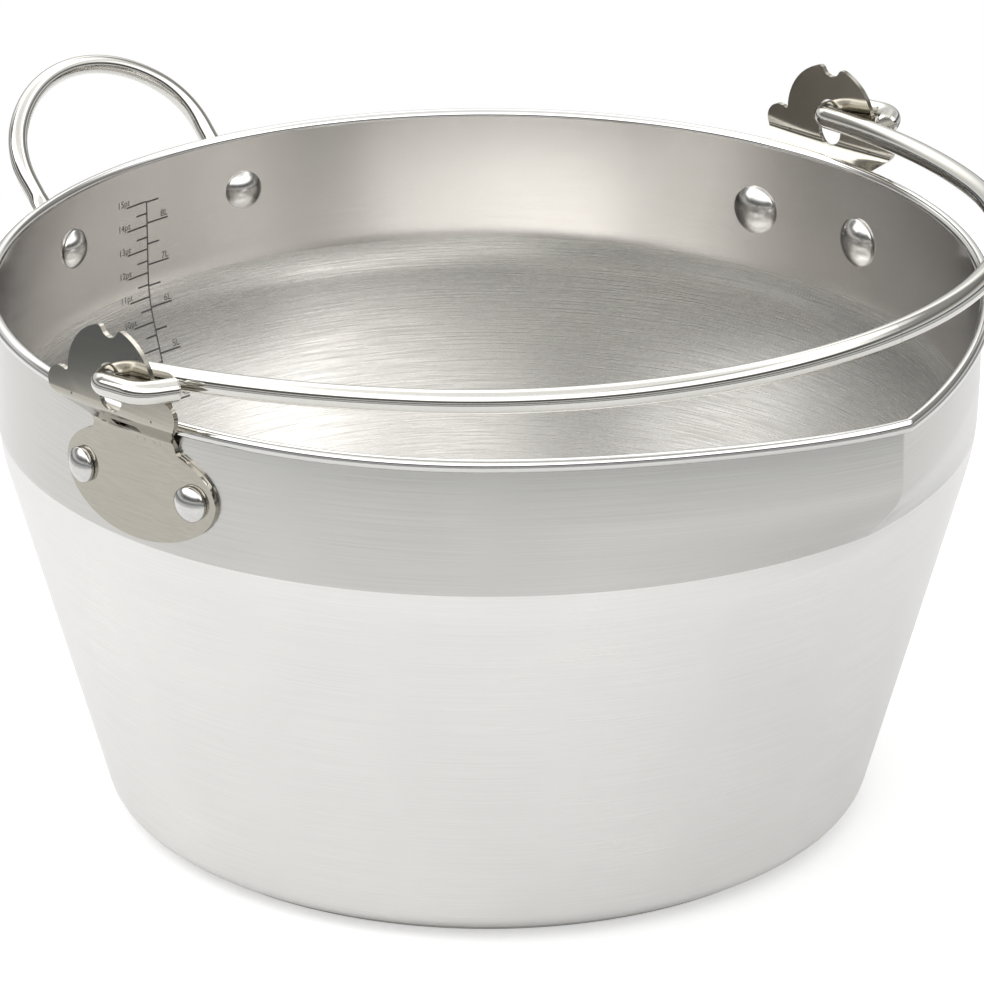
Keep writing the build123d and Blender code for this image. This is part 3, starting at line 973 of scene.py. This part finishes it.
@dataclass
class Helper:
    """The small loop handle opposite the spout: a bent rod with flattened, riveted ends."""

    finishes: Finishes
    band_radius: float
    rim_height: float
    rod: float = 6 * MM
    span: float = 76.4 * MM
    foot_outset: float = 0.4 * MM
    foot_below_rim: float = 17.2 * MM
    height: float = 52.3 * MM
    lean: float = math.radians(41)
    crown_radius: float = 42 * MM
    shoulder_radius: float = 28 * MM
    pad_radius: float = 7.5 * MM
    pad_thickness: float = 2.4 * MM
    pad_round: float = 0.8 * MM
    seat_gap: float = 0.05 * MM
    neck_width: float = 11 * MM
    neck_start: float = 6.2 * MM
    neck_end: float = 15 * MM
    neck_angle: float = math.radians(68)
    neck_pull: float = 5 * MM
    neck_steps: int = 16
    middle_hole: float = 0.1 * MM

    def build(self, bearing: float, rivet_height: float) -> bpy.types.Object:
        """Builds half the loop from its pad to the crown, and mirrors it.

        Args:
            bearing: bearing of the pad on the +Y side.
            rivet_height: height of its rivet.

        Returns:
            The loop.
        """
        up = Vector((-math.sin(self.lean), 0.0, math.cos(self.lean)))
        origin = Vector((-(self.band_radius + self.foot_outset), 0.0, self.rim_height - self.foot_below_rim))
        outward = Vector((math.cos(bearing), math.sin(bearing), 0.0))
        across = Vector((-math.sin(bearing), math.cos(bearing), 0.0))
        leg = self.span / 2
        pad_inside = self.band_radius + self.seat_gap
        neck_foot = Vector((0, 0, rivet_height + self.neck_start))
        start = outward * (pad_inside + self.pad_thickness / 2) + neck_foot
        run = outward * math.sin(self.neck_angle) + Vector((0, 0, math.cos(self.neck_angle)))
        end = origin + Vector((0, leg, 0)) + up * self.neck_end
        pulls = (start, start + run * self.neck_pull, end - up * self.neck_pull, end)
        path: list[Vector] = []
        sections: list[Flat] = []
        for share in spread(0, 1, self.neck_steps):
            weights = ((1 - share) ** 3, 3 * share * (1 - share) ** 2, 3 * share**2 * (1 - share), share**3)
            path.append(sum((pull * weight for pull, weight in zip(pulls, weights)), Vector()))
            width = self.neck_width + (self.rod - self.neck_width) * share
            depth = self.pad_thickness + (self.rod - self.pad_thickness) * ease(share)
            sections.append((width / 2, depth / 2))
        shoulder_place = leg - self.shoulder_radius
        crown = (0.0, self.height - self.crown_radius)
        rise = math.sqrt((self.crown_radius - self.shoulder_radius) ** 2 - shoulder_place**2)
        shoulder = (shoulder_place, crown[1] + rise)
        turn = math.atan2(rise, shoulder_place)
        places = [(leg, h) for h in spread(self.neck_end, shoulder[1], 5)[1:-1]]
        places += arc(shoulder, self.shoulder_radius, 0, turn, 24)
        places += arc(crown, self.crown_radius, turn, math.pi / 2, 30)[1:]
        path += [origin + Vector((0, place, 0)) + up * rise for place, rise in places]
        sections += [(self.rod / 2, self.rod / 2)] * len(places)
        points, faces = rod_mesh(path, sections, across)
        pad = [(0.0, self.middle_hole), (0.0, self.pad_radius)]
        pad += [
            (
                self.pad_thickness - self.pad_round * (1 - math.sin(a)),
                self.pad_radius - self.pad_round * (1 - math.cos(a)),
            )
            for a in spread(0, math.pi / 2, 6)
        ]
        pad.append((self.pad_thickness, self.middle_hole))
        pad_foot = outward * pad_inside + Vector((0, 0, rivet_height))
        pad_points, pad_faces, _ = turned_mesh(list(reversed(pad)), pad_foot, outward, 56)
        start_number = len(points)
        points += pad_points
        faces += [tuple(corner + start_number for corner in face) for face in pad_faces]
        piece = new_piece("helper_loop", points, faces, (self.finishes.rod,), sharp_angle=math.radians(50))
        mirror_piece(piece)
        attach(piece, Body.PAN, Slot.ROD, "helper_handle")
        return piece


@dataclass
class Bail:
    """The bail: one bent rod whose ends hook outwards through the ears and curl back."""

    finishes: Finishes
    band_radius: float
    rim_height: float
    forward: float = 2 * MM
    above_rim: float = 12.1 * MM
    rod: float = 7 * MM
    overreach: float = 8 * MM
    tip_tightening: float = 8 * MM
    tip_half_angle: float = math.radians(60)
    rest_angle: float = math.radians(3.5)
    pin_middle: float = 158.8 * MM
    pin_length: float = 2 * MM
    bend_radius: float = 6.1 * MM
    leg_length: float = 8 * MM
    end_radius: float = 9 * MM
    end_angle: float = math.radians(60)
    end_length: float = 6 * MM
    end_round: float = 0.7 * MM

    def half_path(self) -> list[Flat]:
        """The rod's middle line on the +Y side, from its cut end to the tip, in its own plane.

        Returns:
            Places in the bail's plane.
        """
        reach = self.band_radius + self.overreach
        tip_radius = self.band_radius - self.tip_tightening
        tip = (reach - tip_radius, 0.0)
        pin_start = self.pin_middle - self.pin_length / 2
        pin_end = self.pin_middle + self.pin_length / 2
        bend = (self.bend_radius, pin_start)
        bend_reach = tip_radius + self.bend_radius
        away = (bend[0] - tip[0], bend[1])
        slope = (math.cos(self.tip_half_angle), math.sin(self.tip_half_angle))
        shift = (bend_reach**2 - away[0] ** 2 - away[1] ** 2) / (
            2 * (away[0] * slope[0] + away[1] * slope[1] - bend_reach)
        )
        side = (tip[0] - shift * slope[0], tip[1] - shift * slope[1])
        side_turn = math.atan2(bend[1] - side[1], bend[0] - side[0])
        leg_place = pin_end + self.bend_radius
        leg_end = self.bend_radius + self.leg_length
        curl = (leg_end, leg_place - self.end_radius)
        curl_turn = math.pi / 2 - self.end_angle
        curl_end = arc(curl, self.end_radius, curl_turn, curl_turn, 1)[0]
        away_run = (math.sin(curl_turn), -math.cos(curl_turn))
        cut = (curl_end[0] + away_run[0] * self.end_length, curl_end[1] + away_run[1] * self.end_length)
        runs = arc(tip, tip_radius, 0, self.tip_half_angle, 48)
        runs += arc(side, tip_radius + shift, self.tip_half_angle, side_turn, 26)[1:]
        runs += arc(bend, self.bend_radius, side_turn - math.pi, -math.pi, 16)[1:]
        runs += [(0.0, pin_end)]
        runs += arc((self.bend_radius, pin_end), self.bend_radius, math.pi, math.pi / 2, 14)[1:]
        runs += [(leg_end, leg_place)]
        runs += arc(curl, self.end_radius, math.pi / 2, curl_turn, 14)[1:]
        runs += [
            (curl_end[0] + (cut[0] - curl_end[0]) * share, curl_end[1] + (cut[1] - curl_end[1]) * share)
            for share in (0.4, 1 - self.end_round / self.end_length, 1.0)
        ]
        return list(reversed(runs))

    def build(self) -> bpy.types.Object:
        """Builds half the bail from its cut end to the tip, and mirrors it.

        Returns:
            The bail.
        """
        right = (math.cos(self.rest_angle), 0.0, math.sin(self.rest_angle))
        pivot = (self.forward, 0.0, self.rim_height + self.above_rim)
        path = [plane_point(pivot, right, (0.0, 1.0, 0.0), place) for place in self.half_path()]
        half = self.rod / 2
        sections = [(half - self.end_round, half - self.end_round)] + [(half, half)] * (len(path) - 1)
        points, faces = rod_mesh(path, sections, Vector((-right[2], 0.0, right[0])))
        piece = new_piece("bail_rod", points, faces, (self.finishes.rod,), sharp_angle=math.radians(35))
        mirror_piece(piece)
        attach(piece, Body.BAIL, Slot.ROD, "bail_handle")
        return piece


@dataclass
class Scale:
    """The etched scale on the inside wall: litres on one side of a line, pints on the other."""

    vessel: Vessel
    finishes: Finishes
    top_height: float = 153.7 * MM
    top_volume: float = 8.5 * LITRE
    least_litres: int = 1
    least_pints: int = 2
    line_width: float = 0.55 * MM
    long_mark: float = 9.1 * MM
    litre_half_mark: float = 5.2 * MM
    pint_half_mark: float = 4.8 * MM
    text_height: float = 2.3 * MM
    text_gap: float = 0.7 * MM
    pint_text_end: float = 1.5 * MM
    capital_share: float = 0.72
    strip_step: float = 1.5 * MM
    lift: float = 0.03 * MM
    bearing: float = math.radians(180.4)

    def volume(self, height: float) -> float:
        """Volume of the round wall's inside up to a height.

        Args:
            height: the height.

        Returns:
            The volume, in cubic metres.
        """
        low = self.vessel.base_height + self.vessel.wall
        heights = spread(low, height, 240)
        step = heights[1] - heights[0]
        radii = (self.vessel.radius(z + step / 2, self.vessel.wall) for z in heights[:-1])
        return sum(math.pi * radius**2 * step for radius in radii)

    def level(self, volume: float) -> float:
        """The height of a marked volume.

        Args:
            volume: the volume, in cubic metres.

        Returns:
            The height.
        """
        spare = self.volume(self.top_height) - self.top_volume
        low, high = self.vessel.base_height + self.vessel.wall, self.top_height + 1 * MM
        for _ in range(24):
            middle = (low + high) / 2
            if self.volume(middle) - spare < volume:
                low = middle
            else:
                high = middle
        return (low + high) / 2

    def on_wall(self, across: float, height: float) -> Point:
        """A point of the inside wall, a little proud of it; across runs to +Y.

        Args:
            across: distance round the wall from the line.
            height: the height.

        Returns:
            The point.
        """
        inset = self.vessel.wall + self.lift
        radius = self.vessel.radius(height, inset)
        turn = self.bearing - across / self.vessel.band_radius
        return (radius * math.cos(turn), radius * math.sin(turn), height)

    def strip(self, start: Flat, end: Flat, width: float) -> list[tuple[Point, Point]]:
        """A strip of the wall between two places, as pairs of points along its two sides.

        Args:
            start: its first place.
            end: its last place.
            width: its width.

        Returns:
            Pairs of points, from start to end.
        """
        run = (end[0] - start[0], end[1] - start[1])
        length = math.hypot(*run)
        side = (-run[1] / length * width / 2, run[0] / length * width / 2)
        steps = max(2, round(length / self.strip_step))
        pairs = []
        for share in spread(0, 1, steps):
            x, z = start[0] + run[0] * share, start[1] + run[1] * share
            pairs.append((self.on_wall(x + side[0], z + side[1]), self.on_wall(x - side[0], z - side[1])))
        return pairs

    def label(self, words: str, place: Flat, anchor: str) -> tuple[list[Point], list[tuple[int, ...]]]:
        """A label's flat letters, bent onto the wall.

        Args:
            words: what it says.
            place: where its lower corner or middle lies on the wall.
            anchor: LEFT, CENTER or RIGHT.

        Returns:
            Corners and faces of the letters.
        """
        curve = bpy.data.curves.new("label", "FONT")
        curve.body = words
        curve.size = self.text_height / self.capital_share
        curve.align_x = anchor
        curve.resolution_u = 3
        writing = bpy.data.objects.new("label", curve)
        mesh = bpy.data.meshes.new_from_object(writing)
        points = [self.on_wall(place[0] + v.co.x, place[1] + v.co.y) for v in mesh.vertices]
        faces = [tuple(polygon.vertices) for polygon in mesh.polygons]
        bpy.data.objects.remove(writing)
        bpy.data.meshes.remove(mesh)
        bpy.data.curves.remove(curve)
        return points, faces

    def build(self) -> bpy.types.Object:
        """Builds the line, the marks and their numbers as one thin piece on the wall.

        Returns:
            The scale.
        """
        points: list[Point] = []
        faces: list[tuple[int, ...]] = []

        def add(new_points: Iterable[Point], new_faces: Iterable[Sequence[int]]) -> None:
            """Adds a shape to the print.

            Args:
                new_points: its corners.
                new_faces: its faces.
            """
            start = len(points)
            points.extend(new_points)
            faces.extend(tuple(corner + start for corner in face) for face in new_faces)

        def add_strip(start: Flat, end: Flat) -> None:
            """Adds a line of the print.

            Args:
                start: its first place on the wall.
                end: its last.
            """
            pairs = self.strip(start, end, self.line_width)
            corners = [corner for pair in pairs for corner in pair]
            add(corners, [(2 * n, 2 * n + 1, 2 * n + 3, 2 * n + 2) for n in range(len(pairs) - 1)])

        least = self.level(self.least_litres * LITRE)
        top = self.level(self.top_volume)
        add_strip((0.0, least), (0.0, top))
        litres = (1.0, LITRE, self.least_litres, self.litre_half_mark, "L", self.long_mark)
        pints = (-1.0, PINT, self.least_pints, self.pint_half_mark, "pt", self.pint_text_end - self.long_mark)
        for side, unit, least_whole, half_mark, word, text_end in (litres, pints):
            for half in range(2 * least_whole, round(2 * self.top_volume / unit) + 1):
                height = self.level(half * unit / 2)
                reach = side * (half_mark if half % 2 else self.long_mark)
                add_strip((min(reach, 0.0), height), (max(reach, 0.0), height))
                if half % 2 == 0:
                    add(*self.label(f"{half // 2}{word}", (text_end, height + self.text_gap), "RIGHT"))
        piece = new_piece("litre_and_pint_scale", points, faces, (self.finishes.mark,))
        attach(piece, Body.PAN, Slot.PAN)
        return piece


@dataclass(frozen=True)
class Lamp:
    """A square soft lamp: where it hangs, the point it faces, its side and its power in watts."""

    name: str
    place: Point
    aim: Point
    size: float
    power: float

    def build(self) -> None:
        """Hangs the lamp."""
        data = bpy.data.lights.new(self.name, "AREA")
        data.shape = "SQUARE"
        data.size = self.size
        data.energy = self.power
        lamp = bpy.data.objects.new(self.name, data)
        lamp.location = self.place
        lamp.rotation_euler = (Vector(self.aim) - Vector(self.place)).to_track_quat("-Z", "Y").to_euler()
        bpy.context.scene.collection.objects.link(lamp)


@dataclass
class Studio:
    """The plain pale floor, the soft light and the white surroundings.

    The camera sees plain white. The metal sees a room instead, because polished steel looks like what
    stands round it. Each room is a list of heights on the sky, 0 level to 1 overhead, with a colour.
    """

    floor_radius: float = 0.56
    floor_colour: str = "#f4f4f4"
    floor_glow: float = 0.12
    camera_glow: float = 0.25
    world_strength: float = 0.75
    softbox: float = 2.9
    softbox_heights: Flat = (0.25, 0.6)
    front: Point = (0.686, -0.728, 0.0)
    front_edges: Flat = (-0.35, 0.35)
    front_room: Stops = (
        (0.0, "#59626a"), (0.02, "#f4f4f2"), (0.1, "#e0dfdc"), (0.17, "#4a4a49"), (0.36, "#4a4a49"),
        (0.5, "#ffffff"), (0.74, "#ffffff"), (0.9, "#7e7e7c"), (1.0, "#626261"),
    )
    back_room: Stops = (
        (0.0, "#59626a"), (0.02, "#f4f4f2"), (0.15, "#dcdbd8"), (0.3, "#6e6d6b"), (0.62, "#626160"),
        (0.76, "#f4f4f4"), (0.9, "#7e7e7c"), (1.0, "#626261"),
    )
    lit_side: Point = (-0.851, 0.526, 0.0)
    lit_edges: Flat = (0.64, 0.84)
    lit_room: Stops = (
        (0.0, "#59626a"), (0.02, "#f4f4f2"), (0.15, "#dcdbd8"), (0.3, "#f0f0ee"), (0.62, "#e6e6e4"),
        (0.76, "#f4f4f4"), (0.9, "#7e7e7c"), (1.0, "#626261"),
    )
    low_from: float = -0.5
    low_room: Stops = (
        (0.0, "#59626a"), (0.28, "#59626a"), (0.38, "#cfcfcd"), (0.7, "#cfcfcd"), (0.8, "#59626a"),
        (1.0, "#59626a"),
    )
    lamps: tuple[Lamp, ...] = (
        Lamp("overhead_softbox", (-0.5, -0.2, 2.2), (-0.1, -0.1, 0.0), 3.0, 20.0),
        Lamp("left_softbox", (-1.5, -1.5, 1.6), (-0.1, -0.2, 0.0), 1.2, 8.0),
    )

    def floor(self) -> None:
        """Lays the round white table top that the pan stands on."""
        shape = bmesh.new()
        bmesh.ops.create_circle(shape, cap_ends=True, segments=96, radius=self.floor_radius)
        mesh = bpy.data.meshes.new("floor")
        shape.to_mesh(mesh)
        shape.free()
        material = bpy.data.materials.new("matt_white_paper")
        material.use_nodes = True
        tree = material.node_tree
        shader = tree.nodes["Principled BSDF"]
        shader.inputs["Roughness"].default_value = 0.9
        shader.inputs["Base Color"].default_value = linear(self.floor_colour)
        shader.inputs["Emission Color"].default_value = (1, 1, 1, 1)
        glow: object = 0.0
        for kinds, share in (
            (("Is Camera Ray", "Is Glossy Ray", "Is Transmission Ray"), self.floor_glow),
            (("Is Camera Ray",), self.camera_glow),
        ):
            seen = self.seen_rays(tree, kinds)
            part = {0: seen, 1: share, 2: glow}
            glow = add_node(tree, "ShaderNodeMath", {"operation": "MULTIPLY_ADD"}, part).outputs["Value"]
        tree.links.new(glow, shader.inputs["Emission Strength"])
        mesh.materials.append(material)
        floor = bpy.data.objects.new("floor", mesh)
        bpy.context.scene.collection.objects.link(floor)

    def seen_rays(self, tree: bpy.types.NodeTree, kinds: Sequence[str]) -> bpy.types.NodeSocket:
        """A socket that is 1 for rays of any of the kinds.

        Args:
            tree: the node tree.
            kinds: outputs of the Light Path node.

        Returns:
            The socket.
        """
        path = add_node(tree, "ShaderNodeLightPath")
        seen = path.outputs[kinds[0]]
        for kind in kinds[1:]:
            parts = {0: seen, 1: path.outputs[kind]}
            seen = add_node(tree, "ShaderNodeMath", {"operation": "MAXIMUM"}, parts).outputs["Value"]
        return seen

    def facing(
        self, tree: bpy.types.NodeTree, place: bpy.types.NodeSocket, side: Point, edges: Flat
    ) -> bpy.types.NodeSocket:
        """A socket that rises from 0 to 1 between two edges, towards one side of the room.

        Args:
            tree: the world's node tree.
            place: the direction of the ray.
            side: the level direction of that side.
            edges: where the rise starts and ends, as shares of facing it fully.

        Returns:
            The socket.
        """
        towards = add_node(tree, "ShaderNodeVectorMath", {"operation": "DOT_PRODUCT"}, {0: place, 1: side})
        return add_node(
            tree,
            "ShaderNodeMapRange",
            {"interpolation_type": "SMOOTHSTEP"},
            {"Value": towards.outputs["Value"], "From Min": edges[0], "From Max": edges[1]},
        ).outputs["Result"]

    def world(self) -> None:
        """Makes the surroundings: white to the camera, a room with soft boxes to the metal."""
        world = bpy.data.worlds.new("studio")
        bpy.context.scene.world = world
        world.use_nodes = True
        tree = world.node_tree
        tree.nodes.clear()
        place = add_node(tree, "ShaderNodeTexCoord").outputs["Generated"]
        height = add_node(tree, "ShaderNodeSeparateXYZ", inputs={"Vector": place}).outputs["Z"]
        depth = add_node(
            tree, "ShaderNodeMapRange", inputs={"Value": height, "From Min": self.low_from, "From Max": 0.0}
        ).outputs["Result"]
        below = add_node(
            tree, "ShaderNodeMath", {"operation": "LESS_THAN"}, {0: height, 1: 0.0}
        ).outputs["Value"]
        room: object = (1.0, 1.0, 1.0, 1.0)
        for share, level, stops in (
            (1.0, height, self.back_room),
            (self.facing(tree, place, self.lit_side, self.lit_edges), height, self.lit_room),
            (self.facing(tree, place, self.front, self.front_edges), height, self.front_room),
            (below, depth, self.low_room),
        ):
            colours = add_node(tree, "ShaderNodeValToRGB", inputs={"Fac": level})
            set_ramp(colours, stops)
            layers = {"Factor": share, 6: room, 7: colours.outputs["Color"]}
            room = add_node(tree, "ShaderNodeMix", {"data_type": "RGBA"}, layers).outputs[2]
        dim, bright = self.softbox_heights
        strength = add_node(
            tree,
            "ShaderNodeMapRange",
            {"interpolation_type": "SMOOTHSTEP"},
            {"Value": height, "From Min": dim, "From Max": bright, "To Min": 1.0, "To Max": self.softbox},
        ).outputs["Result"]
        white = (1.0, 1.0, 1.0, 1.0)
        sky = add_node(tree, "ShaderNodeBackground", inputs={"Color": white, "Strength": self.world_strength})
        shown = sky.outputs["Background"]
        for kinds, colour, power in (
            (("Is Glossy Ray",), room, strength),
            (("Is Camera Ray", "Is Transmission Ray"), white, 1.0),
        ):
            sky = add_node(tree, "ShaderNodeBackground", inputs={"Color": colour, "Strength": power})
            parts = {0: self.seen_rays(tree, kinds), 1: shown, 2: sky.outputs["Background"]}
            shown = add_node(tree, "ShaderNodeMixShader", inputs=parts).outputs["Shader"]
        add_node(tree, "ShaderNodeOutputWorld", inputs={"Surface": shown})

    def build(self) -> None:
        """Builds the floor, the surroundings and the lamps."""
        self.floor()
        self.world()
        for lamp in self.lamps:
            lamp.build()


@dataclass
class Camera:
    """The camera at the photograph's viewing angle."""

    place: Point = (1.2065, -1.2803, 0.8271)
    aim: Point = (0.0, 0.0, 0.0899)
    lens: float = 225.6
    shift_x: float = 0.0046
    shift_y: float = 0.0165
    sensor: float = 36.0
    reach: Flat = (0.05, 60.0)

    def build(self) -> None:
        """Sets up the camera and makes it the scene's."""
        data = bpy.data.cameras.new("camera")
        data.sensor_width = self.sensor
        data.lens = self.lens
        data.shift_x = self.shift_x
        data.shift_y = self.shift_y
        data.clip_start, data.clip_end = self.reach
        camera = bpy.data.objects.new("camera", data)
        camera.location = self.place
        camera.rotation_euler = (Vector(self.aim) - Vector(self.place)).to_track_quat("-Z", "Y").to_euler()
        bpy.context.scene.collection.objects.link(camera)
        bpy.context.scene.camera = camera


@dataclass
class RivetPlan:
    """Where the six rivets sit and how large they are."""

    vessel: Vessel
    ear_forward: float = 2 * MM
    ear_spacing: float = 44 * MM
    ear_below_rim: float = 24.2 * MM
    ear_sheet: float = 1.6 * MM
    ear_head: Flat = (7.9 * MM, 3.2 * MM)
    ear_button: Flat = (5.4 * MM, 2.2 * MM)
    helper_span: float = 76.4 * MM
    helper_below_rim: float = 19.2 * MM
    helper_pad: float = 2.4 * MM
    helper_head: Flat = (6.35 * MM, 3 * MM)
    helper_button: Flat = (5 * MM, 1.8 * MM)
    seat_gap: float = 0.05 * MM

    @property
    def helper_bearing(self) -> float:
        """Bearing of the helper's pad on the +Y side."""
        pad_middle = self.vessel.band_radius + self.seat_gap + self.helper_pad / 2
        return math.pi - math.asin(self.helper_span / 2 / pad_middle)

    @property
    def helper_height(self) -> float:
        """Height of the helper's rivets."""
        return self.vessel.rim_height - self.helper_below_rim

    def rivets(self) -> list[Rivet]:
        """All six rivets.

        Returns:
            The ears' rivets, then the helper loop's.
        """
        band = self.vessel.band_radius
        inner = band - self.vessel.wall
        found = []
        for ear, side in (("front_ear", -1), ("back_ear", 1)):
            for end, turn in (("rear", -1), ("fore", 1)):
                place = self.ear_forward + turn * self.ear_spacing / 2
                bearing = math.atan2(side * math.sqrt(band**2 - place**2), place)
                found.append(
                    Rivet(
                        f"{ear}_rivet_{end}_head", f"{ear}_rivet_{end}", bearing,
                        self.vessel.rim_height - self.ear_below_rim,
                        band + self.seat_gap + self.ear_sheet,
                        *self.ear_head, *self.ear_button, inner,
                    )
                )
        for end, bearing in (("back", self.helper_bearing), ("front", -self.helper_bearing)):
            found.append(
                Rivet(
                    f"helper_rivet_{end}_head", f"helper_rivet_{end}", bearing, self.helper_height,
                    band + self.seat_gap + self.helper_pad,
                    *self.helper_head, *self.helper_button, inner,
                )
            )
        return found


def main() -> None:
    """Builds the pan's pieces in order, then the studio and the camera."""
    logging.basicConfig(level=logging.INFO, format="%(message)s")
    view = bpy.context.scene.view_settings
    view.view_transform = "Standard"
    finishes = Finishes()
    vessel = Vessel(finishes)
    vessel.build()
    Base(finishes).build()
    for node in ("front_ear", "back_ear"):
        Ear(finishes, node, vessel.band_radius, vessel.rim_height).build()
    plan = RivetPlan(vessel)
    for rivet in plan.rivets():
        rivet.build(finishes)
    Helper(finishes, vessel.band_radius, vessel.rim_height).build(plan.helper_bearing, plan.helper_height)
    Bail(finishes, vessel.band_radius, vessel.rim_height).build()
    Scale(vessel, finishes).build()
    Studio().build()
    Camera().build()


if __name__ == "__main__":
    main()
